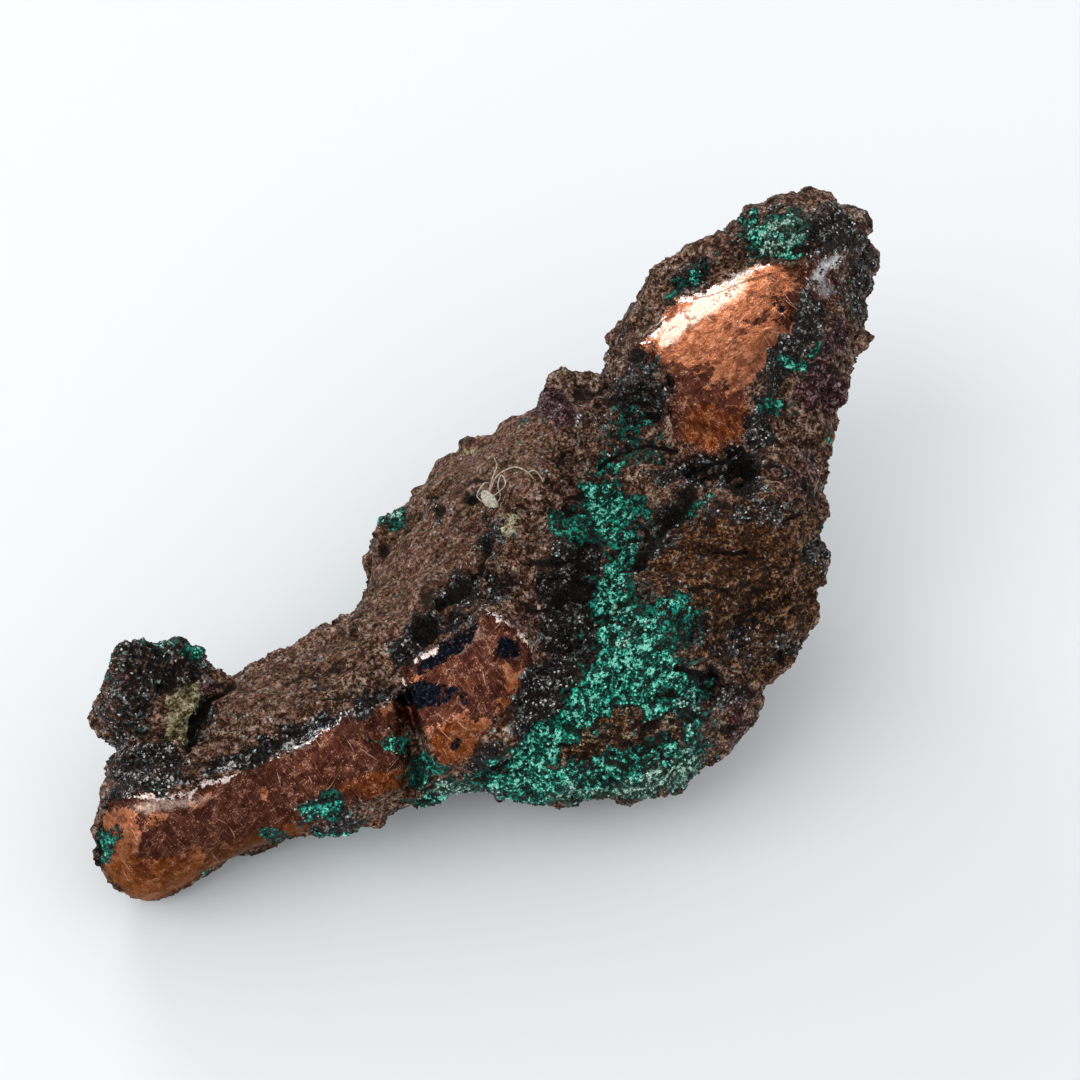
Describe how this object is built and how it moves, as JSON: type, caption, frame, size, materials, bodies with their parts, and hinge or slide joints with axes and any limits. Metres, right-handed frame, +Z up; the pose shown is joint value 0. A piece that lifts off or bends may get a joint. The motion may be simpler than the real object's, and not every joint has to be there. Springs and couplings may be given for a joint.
{
  "type": "native copper nugget",
  "caption": "Long, club-shaped nugget of native copper lying on its side, in a dark crust with green malachite, worn to bright metal in smooth windows.",
  "frame": {"origin": "centre of the bounding box on the surface the nugget rests on", "axes": "+X along the nugget's length from its foot to its raised head, +Y towards its back, +Z up"},
  "size_m": [0.0778, 0.0358, 0.028],
  "materials": {
    "copper_nugget": "rough dark brown and black oxide crust with patches of green malachite, worn to smooth scratched copper in windows"
  },
  "bodies": {
    "root": {"copper_nugget": "copper_nugget"}
  },
  "joints": []
}
